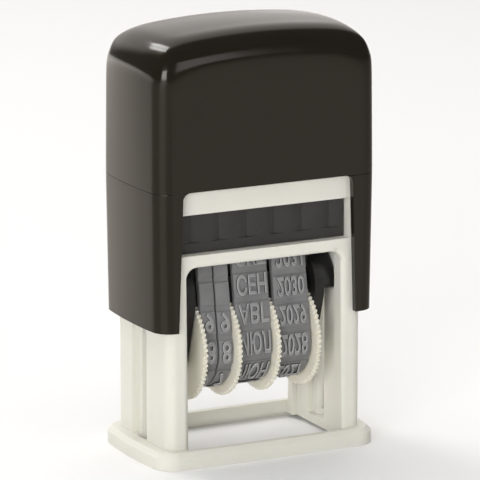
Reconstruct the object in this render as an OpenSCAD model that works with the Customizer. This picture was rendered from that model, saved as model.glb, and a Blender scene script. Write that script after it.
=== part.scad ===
// Self-inking date stamp: a push cap on a slotted frame turns a four-band dater over from the ink pad to
// the paper. Millimetres, +Z up, front towards -Y, origin at the centre of the base's underside.

/* [Date bands] */
// Width of each of the two day bands
day_band_w = 3; // [2:0.1:5]
// Thickness of the rubber band itself
band_t = 0.9; // [0.5:0.05:1.4]
// Height of the tile under each figure
tile_h = 0.25; // [0.1:0.05:0.6]
// Height of the raised figures
figure_h = 0.5; // [0.2:0.05:0.8]
// Length of a figure along its band
figure_len = 3.7; // [2:0.1:3.8]
// Nominal distance from one figure to the next
tile_pitch = 5.4; // [5.2:0.1:8]
// Groove between neighbouring tiles
tile_groove = 1.2; // [0.4:0.05:1.4]
// Gap between the two day bands
band_gap = 0.35; // [0.15:0.05:0.6]

/* [Thumbwheels] */
// Radius over the tips of a thumbwheel's teeth
wheel_r = 10.5; // [9.2:0.1:12]
// Number of teeth round a thumbwheel
wheel_teeth = 64; // [24:1:80]
// Height of a tooth
tooth_h = 0.5; // [0.2:0.05:0.8]
// Thickness of a toothed flange
flange_t = 0.85; // [0.5:0.05:1.5]
// Radius of the drum that drives a band
drum_r = 7; // [4.5:0.1:7.4]
// Radius of the wheel axle
axle_r = 1.5; // [1:0.1:2.5]
// Height of the carriage pivot over the wheel axle
axle_drop = 10.3; // [9:0.05:11]
// Room that the two end wheels keep beside the others
end_room = 0.25; // [0.1:0.05:0.6]

/* [Carriage] */
// Thickness of a cheek
cheek_t = 2; // [1.4:0.1:3]
// Radius of a cheek's round head
head_r = 7.4; // [6.5:0.1:7.5]
// How far the thick part of the head reaches below the pivot
head_low = 0.6; // [0.2:0.1:1]
// Corner radius of that thick part
head_corner_r = 1.2; // [0.4:0.1:2]
// Radius of a cheek's lower end round the axle
cheek_foot_r = 4.3; // [3.4:0.1:6.5]
// Width of the print bar
bar_w = 8.6; // [7:0.1:11]
// Depth of the print bar
bar_h = 5; // [3:0.1:5.5]
// Radius of the print bar's upper edges
bar_r = 1.8; // [1:0.1:2.4]
// Radius of the hub on a cheek's outer face
hub_r = 3.2; // [2.8:0.1:4]
// Radius of the journal that slides in the frame's slot
journal_r = 2.05; // [1.8:0.05:2.2]
// Radius of the pivot pin between cap and carriage
pin_r = 1.2; // [0.8:0.05:1.4]
// Radius of the turning peg
peg_r = 0.7; // [0.4:0.05:0.8]
// Distance of the turning peg from the pivot
peg_orbit = 3.1; // [3:0.05:3.3]
// Thickness of an axle clip
clip_t = 0.6; // [0.4:0.05:1]
// How far an axle clip stands out round the axle
clip_ring = 1.2; // [0.6:0.1:2]
// Room between the axle's ends and the frame's legs
axle_room = 1.05; // [0.3:0.05:2]

/* [Motion] */
// Travel of the cap from rest to print
stroke = 20.6; // [18:0.1:23]
// Space left under the cap at the end of the stroke
cap_rest_gap = 2.9; // [1:0.1:5]

/* [Frame] */
// Width of the frame; the month and year bands take what the other pieces leave of it
frame_w = 41.85; // [38:0.05:50]
// Depth of the frame
frame_d = 22.8; // [22:0.1:28]
// Corner radius of the frame
frame_r = 2.2; // [0.8:0.1:3]
// Thickness of the frame's front wall and legs
front_wall_t = 3.4; // [2:0.1:3.8]
// Thickness of the frame's rear wall and legs
rear_wall_t = 2; // [1.4:0.1:2.4]
// Thickness of the frame's slotted side walls
side_wall_t = 3.35; // [2.4:0.05:4]
// How far a leg reaches in front of the side wall towards the middle
leg_lip = 1; // [0.6:0.1:2]
// Height of the lower window's top edge over the table
window_top_z = 38.7; // [37:0.1:44]
// Corner radius of the lower window
window_r = 2.2; // [0.8:0.1:3]
// Height of the crossbar under the ink pad
crossbar_h = 2.5; // [1.8:0.1:4]
// Thickness of the deck over the ink pad
deck_t = 1.6; // [1:0.1:2.5]
// Height of the rim over the deck
rim_h = 5.2; // [3:0.1:7]
// Thickness of that rim
rim_t = 1.6; // [1:0.1:2.4]
// Depth of the outer step along a slot's rear edge
slot_step = 1.3; // [0.4:0.1:1.5]
// Length of that step behind the slot
slot_step_d = 1.7; // [0.6:0.1:3]
// Depth of the inner groove along a slot's rear edge, where the turning peg passes
groove_t = 1.1; // [0.9:0.05:1.2]
// Length of that groove behind the slot
groove_d = 2.4; // [2.2:0.1:3]

/* [Base] */
// Height of the base ring
base_h = 3.3; // [2.4:0.1:5]
// How far the base ring's corners stand out at the sides
base_ledge_x = 2.45; // [1.5:0.05:5]
// How far the base ring's corners stand out at front and rear
base_ledge_y = 2.45; // [1.6:0.05:4]
// Thickness of the base ring's front and rear bars
base_bar_t = 2; // [1.2:0.1:2.2]
// Corner radius of the base ring
base_r = 4.2; // [2.5:0.1:6]
// Bow of the base ring's sides
base_bow_x = 0.6; // [0:0.05:1]
// Bow of the base ring's front and rear
base_bow_y = 0.25; // [0:0.05:0.6]
// Bevel round the base ring's upper edge
base_bevel = 0.9; // [0.3:0.1:1.4]
// Depth of the pocket at the foot of each side slot
foot_pocket = 1; // [0.3:0.1:1.6]
// Height of the hollow under the base ring
base_hollow = 0.7; // [0.3:0.1:1.2]
// Width of the rim that the base ring stands on
base_rim = 1.6; // [1:0.1:2.4]

/* [Ink pad] */
// Height of the ink pad cassette's channel
pad_slot_h = 8; // [6:0.1:10]
// Width that the channel keeps on each side of the lower window
pad_shelf = 1.4; // [0.8:0.1:1.6]
// How far the cassette's front lies behind the frame's
pad_recess = 1.9; // [0.2:0.05:2.4]
// Thickness of the felt
felt_t = 3; // [1.5:0.1:4.5]
// Wall of the cassette round the felt
cassette_wall = 2.4; // [1.4:0.1:4]
// Number of finger scallops across the cassette
scallops = 6; // [3:1:9]
// Depth of a scallop
scallop_depth = 0.5; // [0.1:0.05:0.6]
// Height of the flat margin under the scallops
scallop_margin = 1.9; // [1:0.1:3]

/* [Cap] */
// Height of the cap from its lower edge to its crown
cap_h = 57.3; // [54:0.1:64]
// Height of the window from the cap's lower edge
cap_window_h = 27.1; // [25:0.1:30]
// Width that the window leaves of the frame's half width at its top
window_inset = 2.7; // [1.5:0.05:4]
// Widening of the window on each side towards the bottom
window_flare = 0.9; // [0:0.1:1.4]
// Corner radius of the cap's window
cap_window_r = 1.4; // [0.5:0.1:3]
// Thickness of the cap's walls
cap_wall = 1.25; // [0.9:0.05:1.8]
// Corner radius of the cap's upright edges
cap_corner_r = 3; // [2:0.1:3.5]
// Radius of the crown's front and rear edges
cap_edge_r = 5.3; // [3.6:0.1:6]
// Radius of the crown's ends
cap_end_r = 6.6; // [6.2:0.1:10]
// Radius of the crown's long arch
crown_r = 120; // [70:1:300]
// Draft of the walls above and below the parting line
cap_taper = 0.35; // [0:0.05:0.8]
// Bow of the cap's sides
side_bow = 0.6; // [0:0.05:1]
// Bow of the crown's ends
crown_bow = 1.1; // [0:0.05:1.6]
// Rise of the crown's middle over its front and rear edges
crown_dome = 0.3; // [0:0.05:0.8]
// Thickness of the guide ribs inside the cap
rib_t = 1.2; // [0.8:0.1:2]
// Height of the guide ribs over the parting line
rib_rise = 9; // [4:0.5:12]
// Wall of the bosses round the pivot pins
boss_wall = 1.6; // [1:0.1:2]
// Space between the cap's side walls and the frame
cap_side_space = 1.15; // [0.9:0.05:3]

/* [Return spring] */
// Radius of the spring to the middle of its wire
spring_r = 5; // [4:0.1:6]
// Diameter of the spring's wire
wire_d = 1; // [0.6:0.05:1.2]
// Number of curls
spring_turns = 7; // [4:1:7]
// Depth of the crown's socket for the spring
spring_socket = 4; // [2:0.1:4.5]
// Height of the seat's stub inside the spring
seat_stub = 2.6; // [1:0.1:3]
// Thickness of the seat's flange
seat_t = 0.8; // [0.5:0.1:1.5]

/* [Clearances] */
// Room between parts that slide past each other
slide_gap = 0.25; // [0.15:0.05:0.4]
// Radial clearance of pins and axles that turn
run_gap = 0.05; // [0.02:0.01:0.1]
// Radial clearance of pins that are held fast
hold_gap = 0.02; // [0.01:0.01:0.04]
// Gap between the print face and the felt at rest
ink_gap = 0.25; // [0.2:0.05:0.5]
// Height of the print face over the table at the end of the stroke
paper_gap = 0.05; // [0:0.05:0.3]
// How far the felt lies above the cassette's underside
felt_recess = 0.1; // [0.05:0.05:0.3]

/* [Hidden] */
$fn = 64;
// Overlap that keeps cuts from ending on a face
eps = 0.01;

// Heights, from the table up
pad_z = window_top_z + crossbar_h;
deck_z = pad_z + pad_slot_h;
frame_top = deck_z + deck_t + rim_h;
cassette_z = pad_z + slide_gap / 2;
felt_z = cassette_z + felt_recess;
print_z = felt_z - ink_gap;
pivot_z = (print_z + stroke + paper_gap) / 2;
axle_z = pivot_z - axle_drop;
cap_z = base_h + stroke + cap_rest_gap;
part_z = cap_z + cap_window_h;
cap_top = cap_z + cap_h;

// The slots lie slightly behind the middle of the frame
pivot_y = 0.2;
slot_half = journal_r + slide_gap;
slot_low = base_h - foot_pocket;
slot_high = pivot_z + peg_orbit + peg_r + 2 * slide_gap;

// Across the frame and the cap
face_gap = 0.1;
frame_half = frame_w / 2;
wall_in = frame_half - side_wall_t;
window_half = wall_in - leg_lip;
hub_end = wall_in - 1.5 * slide_gap;
journal_end = frame_half - slide_gap;
cap_half = frame_half + cap_side_space + cap_wall;
cap_d = frame_d + 2 * (slide_gap + cap_wall) + cap_taper;
pin_end = cap_half - cap_taper - cap_wall / 2;
pad_half = window_half + pad_shelf;

// Across the carriage, from the axle's ends inwards and then from the left cheek to the right one
axle_end = window_half - axle_room;
clip_x = axle_end - clip_t;
cheek_out = clip_x - face_gap / 2;
cheek_in = cheek_out - cheek_t;
flange_step = flange_t + 2 * face_gap;
word_band_w = cheek_in - day_band_w - band_gap / 2 - end_room - 2 * flange_step;
tens_flange_x = -cheek_in + face_gap + end_room;
tens_x = tens_flange_x + flange_t + face_gap;
units_x = tens_x + day_band_w + band_gap;
month_x = units_x + day_band_w + flange_step;
year_x = month_x + word_band_w + flange_step;

// Loop of a band round its drum and the two upper edges of the print bar
bar_top = print_z - figure_h - tile_h - band_t - run_gap;
loop_circles = [
    [pivot_y, axle_z, drum_r + run_gap],
    [pivot_y + bar_w / 2 - bar_r, bar_top - bar_r, bar_r + run_gap],
    [pivot_y - bar_w / 2 + bar_r, bar_top - bar_r, bar_r + run_gap]
];
loop_n = len(loop_circles);

function span(i) =
    let(a = loop_circles[i], b = loop_circles[(i + 1) % loop_n])
    [b[0] - a[0], b[1] - a[1], a[2] - b[2]];
// Direction that the straight stretch after circle i faces
function facing(i) =
    let(d = span(i))
    atan2(d[1], d[0]) - acos(d[2] / norm([d[0], d[1]]));
function straight(i) =
    let(d = span(i))
    sqrt(d[0] * d[0] + d[1] * d[1] - d[2] * d[2]);
function before(i) = facing((i + loop_n - 1) % loop_n);
function swing(i) = (facing(i) - before(i) + 720) % 360;
function arc_len(i) = loop_circles[i][2] * swing(i) * PI / 180;
function loop_len(i = 0) = i == loop_n ? 0 : arc_len(i) + straight(i) + loop_len(i + 1);
function ray(angle, r) = [r * cos(angle), r * sin(angle)];
// Point of the loop at length s along it, raised by lift
function loop_point(s, lift, i = 0) =
    let(c = loop_circles[i % loop_n], arc = arc_len(i % loop_n), run = straight(i % loop_n))
    s > arc + run && i < 2 * loop_n ? loop_point(s - arc - run, lift, i + 1)
    : s <= arc ? [c[0], c[1]] + ray(before(i % loop_n) + s / c[2] * 180 / PI, c[2] + lift)
    : [c[0], c[1]] + ray(facing(i % loop_n), c[2] + lift)
        + ray(facing(i % loop_n) + 90, s - arc);

band_len = loop_len();
tile_count = floor(band_len / tile_pitch);
tile_step = band_len / tile_count;
// The middle of the print face carries the middle of a tile
print_s = arc_len(0) + straight(0) + arc_len(1) + straight(1) / 2;
tile_shift = print_s - floor(print_s / tile_step) * tile_step;
samples = 8;

function tile_s(i, part) = i * tile_step + tile_shift + part;
function stretch(i, half, lift) =
    [for (k = [0 : samples]) loop_point(tile_s(i, half * (2 * k / samples - 1)) + band_len, lift)];
function flat(lists) = [for (l = lists) each l];

// Spring, from the seat on the deck up to the socket under the crown
spring_rest = 2;
spring_low = deck_z + deck_t + seat_t;
spring_high = cap_top - cap_wall - spring_rest;
wire_sides = 6;
rings_per_turn = 8;
spring_rings = spring_turns * rings_per_turn;
spring_rise = spring_high - spring_low - wire_d;
function spring_mid(k) =
    let(a = 360 * k / rings_per_turn)
    [spring_r * cos(a), spring_r * sin(a), spring_low + wire_d / 2 + spring_rise * k / spring_rings];
function spring_ring(k) =
    let(a = 360 * k / rings_per_turn, m = spring_mid(k))
    [for (j = [0 : wire_sides - 1])
        let(b = 360 * j / wire_sides, out = wire_d / 2 * cos(b))
        m + [out * cos(a), out * sin(a), wire_d / 2 * sin(b)]];
spring_gap = min([for (k = [0 : spring_rings - rings_per_turn])
    norm(spring_mid(k + rings_per_turn) - spring_mid(k)) - wire_d]);
echo(spring_gap = spring_gap);

module at_pivot() translate([0, pivot_y, pivot_z]) children();
module at_axle() translate([0, pivot_y, axle_z]) children();
module along_x() rotate([90, 0, 90]) children();
module mirrored(side) mirror([side < 0 ? 1 : 0, 0, 0]) children();
// Round bar along X from x0 to x1
module bar_x(x0, x1, r) translate([x0, 0, 0]) rotate([0, 90, 0]) cylinder(r = r, h = x1 - x0);
module block(low, high) translate(low) cube(high - low);

module rounded(w, d, r) {
    square([w - 2 * r, d], center = true);
    square([w, d - 2 * r], center = true);
    for (x = [-1, 1], y = [-1, 1])
        translate([x * (w / 2 - r), y * (d / 2 - r)]) circle(r);
}

// Opening with rounded upper corners, standing in the XZ plane and cut right through along Y
module arch_cut(half_low, half_high, z0, z1, r) {
    lean = (half_low - half_high) / (z1 - z0);
    rotate([90, 0, 0]) linear_extrude(4 * frame_d, center = true) {
        polygon([[-half_low, z0], [half_low, z0], [half_high + lean * r, z1 - r],
            [half_high - r, z1 - r], [half_high - r, z1], [r - half_high, z1],
            [r - half_high, z1 - r], [-half_high - lean * r, z1 - r]]);
        for (x = [-1, 1]) translate([x * (half_high - r), z1 - r]) circle(r);
    }
}

// Rounded oblong with slightly bowed sides, drawn in by inset
module base_plan(inset) {
    w = frame_half + base_ledge_x - base_r;
    d = frame_d / 2 + base_ledge_y - base_r;
    steps = [-1, -0.6, 0, 0.6, 1];
    for (x = [-1, 1], t = steps)
        translate([x * (w + base_bow_x * (1 - t * t)), t * d]) circle(base_r - inset, $fn = 40);
    for (y = [-1, 1], t = steps)
        translate([t * w, y * (d + base_bow_y * (1 - t * t))]) circle(base_r - inset, $fn = 40);
}

module base_ring() hull() {
    linear_extrude(base_h - base_bevel) base_plan(0);
    linear_extrude(base_h) base_plan(base_bevel);
}
module base_underside() translate([0, 0, -1]) hull()
    linear_extrude(base_hollow + 1) base_plan(base_rim);

module side_slot() {
    block([wall_in - slide_gap, pivot_y - slot_half, slot_low],
        [frame_half + eps, pivot_y + slot_half, slot_high]);
    block([frame_half - slot_step, pivot_y + slot_half - eps, base_h],
        [frame_half + eps, pivot_y + slot_half + slot_step_d, slot_high]);
    block([wall_in - eps, pivot_y + slot_half - eps, slot_low],
        [wall_in + groove_t, pivot_y + slot_half + groove_d, slot_high]);
}

module lower_frame() {
    front_y = front_wall_t - frame_d / 2;
    rear_y = frame_d / 2 - rear_wall_t;
    ring_d = frame_d / 2 + base_ledge_y - base_bar_t;
    rim_half = frame_half - rim_t;
    rim_d = frame_d / 2 - rim_t;
    color("whitesmoke") difference() {
        union() {
            base_ring();
            linear_extrude(frame_top) rounded(frame_w, frame_d, frame_r);
        }
        block([-wall_in, front_y, -1], [wall_in, rear_y, window_top_z]);
        block([-window_half, -ring_d, -1], [window_half, ring_d, base_h + eps]);
        arch_cut(window_half, window_half, base_h, window_top_z, window_r);
        block([-window_half, front_y, base_h], [window_half, rear_y, pad_z + eps]);
        block([-pad_half, -frame_d, pad_z], [pad_half, frame_d, deck_z]);
        block([-rim_half, -rim_d, deck_z + deck_t], [rim_half, rim_d, frame_top + 1]);
        base_underside();
        for (side = [-1, 1]) mirrored(side) side_slot();
    }
}

module spring_seat() {
    stub_r = (spring_r - wire_d / 2) * cos(180 / rings_per_turn) - face_gap;
    color("silver") translate([0, 0, deck_z + deck_t]) difference() {
        union() {
            cylinder(r = spring_r + wire_d, h = seat_t);
            cylinder(r = stub_r, h = seat_t + seat_stub);
        }
        translate([0, 0, -eps]) cylinder(r = stub_r / 2, h = seat_t + seat_stub + 2 * eps);
    }
}

module return_spring() {
    points = flat([for (k = [0 : spring_rings]) spring_ring(k)]);
    last = spring_rings * wire_sides;
    walls = [for (k = [0 : spring_rings - 1], j = [0 : wire_sides - 1])
        let(a = k * wire_sides + j, b = k * wire_sides + (j + 1) % wire_sides)
        each [[a, a + wire_sides, b], [b, a + wire_sides, b + wire_sides]]];
    ends = [for (j = [1 : wire_sides - 2]) each [[0, j, j + 1], [last, last + j + 1, last + j]]];
    color("lightsteelblue") polyhedron(points, concat(walls, ends), convexity = 10);
}

// Outer form of the cap, drawn in by inset on every side and with its lower edge at low
module cap_form(inset, low) {
    corner = cap_corner_r - inset;
    half = cap_half - inset - corner;
    deep = cap_d / 2 - inset - corner;
    edge_lift = cap_edge_r - cap_corner_r;
    end_lift = cap_end_r - cap_corner_r;
    arch = crown_r - cap_corner_r;
    arch_z = cap_top - crown_r;
    end_x = half - cap_taper - end_lift;
    end_angle = asin(end_x / (arch - end_lift));
    end_z = arch_z + (arch - end_lift) * cos(end_angle);
    flat_d = deep - cap_taper / 2 - edge_lift;
    // Places across the crown as [y, drop]: its middle, then the rounding of the front and rear edges
    across = concat([for (t = [-0.5, 0, 0.5]) [t * flat_d, crown_dome * t * t]],
        [for (side = [-1, 1], a = [0 : 30 : 90])
            [side * (flat_d + edge_lift * cos(a)), crown_dome + edge_lift * (1 - sin(a))]]);
    module wall(draft, z) for (x = [-1, 1], t = [-1, -0.5, 0, 0.5, 1])
        translate([x * (half - draft + side_bow * (1 - t * t)), t * (deep - draft / 2), z])
            cylinder(r = corner, h = eps, $fn = 24);
    module crown_row(x, z, bow) for (p = across)
        translate([x + bow * (1 - pow(p[0] / deep, 2)), p[0], z - p[1]]) sphere(r = corner, $fn = 20);
    hull() {
        wall(cap_taper, low);
        wall(0, part_z);
        for (step = [-3 : 3]) {
            a = end_angle * step / 3;
            crown_row(arch * sin(a), arch_z + arch * cos(a), 0);
        }
        for (x = [-1, 1], part = [0 : 4]) {
            a = (90 - end_angle) * part / 4;
            crown_row(x * (end_x + end_lift * cos(a)), end_z + end_lift * sin(a), x * crown_bow);
        }
    }
}

module cap_shell() {
    socket_r = spring_r + wire_d / 2 + slide_gap;
    rib_x = frame_half + slide_gap;
    rib_y = frame_d / 4 + rib_t;
    color("dimgray") difference() {
        union() {
            difference() {
                cap_form(0, cap_z);
                cap_form(cap_wall, cap_z - 1);
                arch_cut(frame_half - window_inset + window_flare, frame_half - window_inset,
                    cap_z - eps, part_z, cap_window_r);
            }
            translate([0, 0, spring_high - spring_socket])
                cylinder(r = socket_r + cap_wall, h = spring_socket + spring_rest + cap_wall / 2);
            for (side = [-1, 1]) mirrored(side) {
                at_pivot() bar_x(rib_x, cap_half - cap_taper, pin_r + boss_wall);
                for (y = [-1, 1])
                    block([rib_x, y * rib_y - rib_t / 2, cap_z + rib_t],
                        [pin_end, y * rib_y + rib_t / 2, part_z + rib_rise]);
            }
        }
        translate([0, 0, spring_high - spring_socket - eps])
            cylinder(r = socket_r, h = spring_socket + eps);
        for (side = [-1, 1]) mirrored(side) at_pivot()
            bar_x(rib_x - eps, pin_end + hold_gap, pin_r + hold_gap);
    }
}

module pivot_pin(side) color("silver") mirrored(side) at_pivot()
    bar_x(cheek_out + face_gap, pin_end, pin_r);
module left_pivot_pin() pivot_pin(-1);
module right_pivot_pin() pivot_pin(1);

cassette_half = pad_half - slide_gap;
cassette_d = frame_d - 2 * pad_recess;
cassette_h = pad_slot_h - slide_gap;
felt_half = window_half - cassette_wall;
felt_d = cassette_d - 2 * cassette_wall;

module pad_cassette() {
    pitch = 2 * (cassette_half - 2 * face_gap) / scallops;
    scallop_half = pitch / 2 - face_gap;
    scallop_r = (scallop_half * scallop_half / scallop_depth + scallop_depth) / 2;
    color("darkslategray") difference() {
        block([-cassette_half, -cassette_d / 2, cassette_z],
            [cassette_half, cassette_d / 2, cassette_z + cassette_h]);
        block([-felt_half - hold_gap, -felt_d / 2 - hold_gap, cassette_z - 1],
            [felt_half + hold_gap, felt_d / 2 + hold_gap, felt_z + felt_t]);
        for (i = [0 : scallops - 1], y = [-1, 1])
            translate([(i + 0.5 - scallops / 2) * pitch, y * (cassette_d / 2 + scallop_r - scallop_depth),
                cassette_z + scallop_margin])
                cylinder(r = scallop_r, h = cassette_h, $fn = 180);
    }
}

module ink_pad() color("black")
    block([-felt_half, -felt_d / 2, felt_z], [felt_half, felt_d / 2, felt_z + felt_t]);

// Side view of a cheek round its pivot: round head with the print bar's seat, tapered sides, round foot
module cheek_outline() {
    lean = asin((head_r - cheek_foot_r) / axle_drop);
    side = [cos(lean), -sin(lean)];
    high = head_r * side;
    low = cheek_foot_r * side - [0, axle_drop];
    polygon([high, low, [-low[0], low[1]], [-high[0], high[1]]]);
    circle(head_r);
    translate([0, -axle_drop]) circle(cheek_foot_r);
    translate([-bar_w / 2, 0]) square([bar_w, bar_top - slide_gap - pivot_z]);
}

// The thick part of the head, flat below and with rounded corners
module head_outline() {
    corner_z = head_corner_r - head_low;
    corner_y = sqrt(head_r * head_r - corner_z * corner_z) - head_corner_r;
    difference() {
        circle(head_r);
        translate([-2 * head_r, corner_z - 4 * head_r]) square(4 * head_r);
    }
    translate([-corner_y, -head_low]) square([2 * corner_y, head_corner_r + eps]);
    for (y = [-1, 1]) translate([y * corner_y, corner_z]) circle(head_corner_r);
}

module cheek(side) color("dimgray") mirrored(side) difference() {
    union() {
        at_pivot() translate([cheek_in, 0, 0]) along_x() linear_extrude(cheek_t) cheek_outline();
        at_pivot() translate([cheek_out - eps, 0, 0]) along_x()
            linear_extrude(hub_end - cheek_out + eps) head_outline();
        at_pivot() bar_x(cheek_out - eps, hub_end, hub_r);
        at_pivot() bar_x(cheek_out, journal_end, journal_r);
    }
    at_axle() bar_x(cheek_in - 1, cheek_out + 1, axle_r + hold_gap);
    at_pivot() bar_x(cheek_out, journal_end + 1, pin_r + run_gap);
    at_pivot() translate([0, 0, peg_orbit]) bar_x(cheek_out, hub_end + 1, peg_r + hold_gap);
}
module left_cheek() cheek(-1);
module right_cheek() cheek(1);

module turning_peg(side) color("silver") mirrored(side) at_pivot() translate([0, 0, peg_orbit])
    bar_x(cheek_out + face_gap, wall_in + groove_t - slide_gap, peg_r);
module left_turning_peg() turning_peg(-1);
module right_turning_peg() turning_peg(1);

module print_bar() color("dimgray") translate([-cheek_in, pivot_y, bar_top - bar_h]) along_x()
    linear_extrude(2 * cheek_in) {
        translate([-bar_w / 2, 0]) square([bar_w, bar_h - bar_r]);
        translate([bar_r - bar_w / 2, 0]) square([bar_w - 2 * bar_r, bar_h]);
        for (y = [-1, 1]) translate([y * (bar_w / 2 - bar_r), bar_h - bar_r]) circle(bar_r);
    }

module wheel_axle() color("silver") at_axle() bar_x(-axle_end, axle_end, axle_r);

module axle_ring(x0, x1, gap, ring) at_axle() difference() {
    bar_x(x0, x1, axle_r + gap + ring);
    bar_x(x0 - 1, x1 + 1, axle_r + gap);
}

module axle_clips() color("gray") {
    axle_ring(clip_x, clip_x + clip_t, hold_gap, clip_ring);
    axle_ring(-clip_x - clip_t, -clip_x, hold_gap, clip_ring);
}

// Toothed flange, a drum beside it from drum_x, and the axle's bore through both
module thumbwheel(flange_x, drum_x, drum_w) {
    step = 360 / wheel_teeth;
    root = wheel_r - tooth_h;
    rim = flat([for (i = [0 : wheel_teeth - 1])
        [ray(step * i, root), ray(step * (i + 0.3), root), ray(step * (i + 0.4), wheel_r - tooth_h / 4),
            ray(step * (i + 0.5), wheel_r), ray(step * (i + 0.8), wheel_r),
            ray(step * (i + 0.9), wheel_r - tooth_h / 4)]]);
    color("cornsilk") at_axle() difference() {
        union() {
            translate([flange_x, 0, 0]) along_x() linear_extrude(flange_t) polygon(rim);
            bar_x(drum_x, drum_x + drum_w, drum_r);
        }
        bar_x(-cheek_in, cheek_in, axle_r + run_gap);
    }
}
// Wheel whose flange stands at the right of a band that starts at x
module right_wheel(x, w) thumbwheel(x + w + face_gap, x, w + face_gap + flange_t);
module day_tens_wheel() {
    thumbwheel(tens_flange_x, tens_flange_x, flange_t + face_gap + day_band_w);
    color("cornsilk") axle_ring(tens_flange_x - end_room, tens_flange_x + eps, run_gap, clip_ring);
}
module day_units_wheel() right_wheel(units_x, day_band_w);
module month_wheel() right_wheel(month_x, word_band_w);
module year_wheel() right_wheel(year_x, word_band_w + end_room);

// Rubber loop from x to x + w with a tile for each figure, and a raised block for each character
module date_band(x, w, characters) {
    tile = (tile_step - tile_groove) / 2;
    top = band_t + tile_h;
    margin = 0.3;
    cell = (w - 2 * margin) / characters;
    letter = cell * 0.8;
    outline = flat([for (i = [0 : tile_count - 1])
        concat([loop_point(tile_s(i, -tile) + band_len, band_t)], stretch(i, tile, top),
            [loop_point(tile_s(i, tile) + band_len, band_t)])]);
    bore = flat([for (i = [0 : tile_count - 1]) stretch(i, tile_step / 2, 0)]);
    color("gray") translate([x, 0, 0]) along_x() {
        linear_extrude(w) difference() {
            polygon(outline);
            polygon(bore);
        }
        for (c = [0 : characters - 1])
            translate([0, 0, margin + (c + 0.5) * cell - letter / 2]) linear_extrude(letter)
                for (i = [0 : tile_count - 1])
                    polygon(concat(stretch(i, figure_len / 2, top + figure_h),
                        [for (k = [samples : -1 : 0]) stretch(i, figure_len / 2, top - tile_h / 2)[k]]));
    }
}
module day_tens_band() date_band(tens_x, day_band_w, 1);
module day_units_band() date_band(units_x, day_band_w, 1);
module month_band() date_band(month_x, word_band_w, 3);
module year_band() date_band(year_x, word_band_w, 4);

lower_frame();
spring_seat();
return_spring();
cap_shell();
left_pivot_pin();
right_pivot_pin();
pad_cassette();
ink_pad();
left_cheek();
right_cheek();
left_turning_peg();
right_turning_peg();
print_bar();
wheel_axle();
axle_clips();
day_tens_wheel();
day_units_wheel();
month_wheel();
year_wheel();
day_tens_band();
day_units_band();
month_band();
year_band();
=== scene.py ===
import math

import bmesh
import bpy
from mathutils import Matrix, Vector


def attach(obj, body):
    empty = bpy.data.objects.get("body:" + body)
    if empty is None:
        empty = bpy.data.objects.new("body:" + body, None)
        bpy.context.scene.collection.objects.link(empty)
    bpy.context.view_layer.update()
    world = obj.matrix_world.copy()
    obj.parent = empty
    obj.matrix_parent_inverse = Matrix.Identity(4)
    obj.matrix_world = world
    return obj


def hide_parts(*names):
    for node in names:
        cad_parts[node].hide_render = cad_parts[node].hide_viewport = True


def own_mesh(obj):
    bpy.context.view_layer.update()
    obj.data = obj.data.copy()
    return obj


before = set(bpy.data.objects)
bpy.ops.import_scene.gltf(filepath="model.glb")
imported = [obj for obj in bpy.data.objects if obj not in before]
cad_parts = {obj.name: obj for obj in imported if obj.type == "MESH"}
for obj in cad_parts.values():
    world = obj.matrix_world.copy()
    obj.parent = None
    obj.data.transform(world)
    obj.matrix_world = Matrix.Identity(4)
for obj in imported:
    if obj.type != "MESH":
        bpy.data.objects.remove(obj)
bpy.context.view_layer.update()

# Pieces are shaped in millimetres and brought to metres when they are finished
MM = 0.001
# Reach within which a vertex counts as lying on a plane
NEAR = 0.01
# Share of a normal along an axis from which a face counts as facing that way
SQUARE_ON = 0.9


def box_of(node):
    """Low and high corner of a CAD node, in millimetres."""
    corners = [[round(v / MM, 4) for v in corner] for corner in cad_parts[node].bound_box]
    return [min(places) for places in zip(*corners)], [max(places) for places in zip(*corners)]


# Thumbwheels and bands, in pairs from left to right
PAIRS = ("day_tens", "day_units", "month", "year")

# Ink cassette and felt: low and high corner
CASSETTE_LOW, CASSETTE_HIGH = box_of("pad_cassette")
FELT_LOW, FELT_HIGH = box_of("ink_pad")

# Cap: half width and half depth, half width at its corners, rim, parting line, crown and wall
CAP_HALF, CAP_DEEP = 23.325, box_of("cap_shell")[1][1]
CORNER_HALF = CAP_HALF - 0.05
CAP_LOW, CAP_PART, CAP_TOP = box_of("cap_shell")[0][2], 53.9, 84.1
CAP_WALL = 1.25

# Cap's form: bow of the ends and its growth at the crown, radius of the crown's arch, fall of the crown
# towards front and rear and the depth where it ends, draft of the end walls
END_BOW, CROWN_BOW = 0.72, 0.45
CROWN_ARCH, CROWN_FALL, FALL_REACH = 140, 0.35, 8.3
DRAFT = 0.35
# All vertices of the crown lie above this height, and its corners beyond these
CROWN_LOW = 75
CORNER_X, CORNER_Y, CORNER_Z = 16, 7, 76.5
# Radii of the crown's edges at the ends and along the faces, and of the upright corners
END_ROLL, FACE_ROLL, CORNER_ROLL = 6.2, 5.5, 3.3
# Heights of edge loops that keep the walls straight
WALL_LOOPS = [32, 48, 60, 70]

# Windows in the cap: half width, widening at the rim, trim of the right edge, radius of the upper corners
WINDOW_HALF, WINDOW_FLARE = CASSETTE_HIGH[0] + 0.5, 1.0
WINDOW_TRIM, WINDOW_CORNER = 0.4, 1.4
# Parting groove: half width and depth
GROOVE_HALF, GROOVE_DEEP = 0.1, 0.07

# Inside the cap: bosses round the pivot pins, guide ribs, and the socket for the spring's upper end
PIVOT_Y, PIVOT_Z = 0.2, 30.9125
BOSS_R, PIN_BORE_R = 2.8, 1.25
INNER_X, BOSS_END, RIB_END = 21.2, 22.7, 22.5
RIB_Y, RIB_HALF, RIB_LOW, RIB_HIGH = 6.85, 0.6, 28.1, 62.8
SOCKET_R, SOCKET_WALL = 7.0, 1.25
SOCKET_MID, SOCKET_LONG, SOCKET_DEEP = 79.75, 5.8, 4.2

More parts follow.
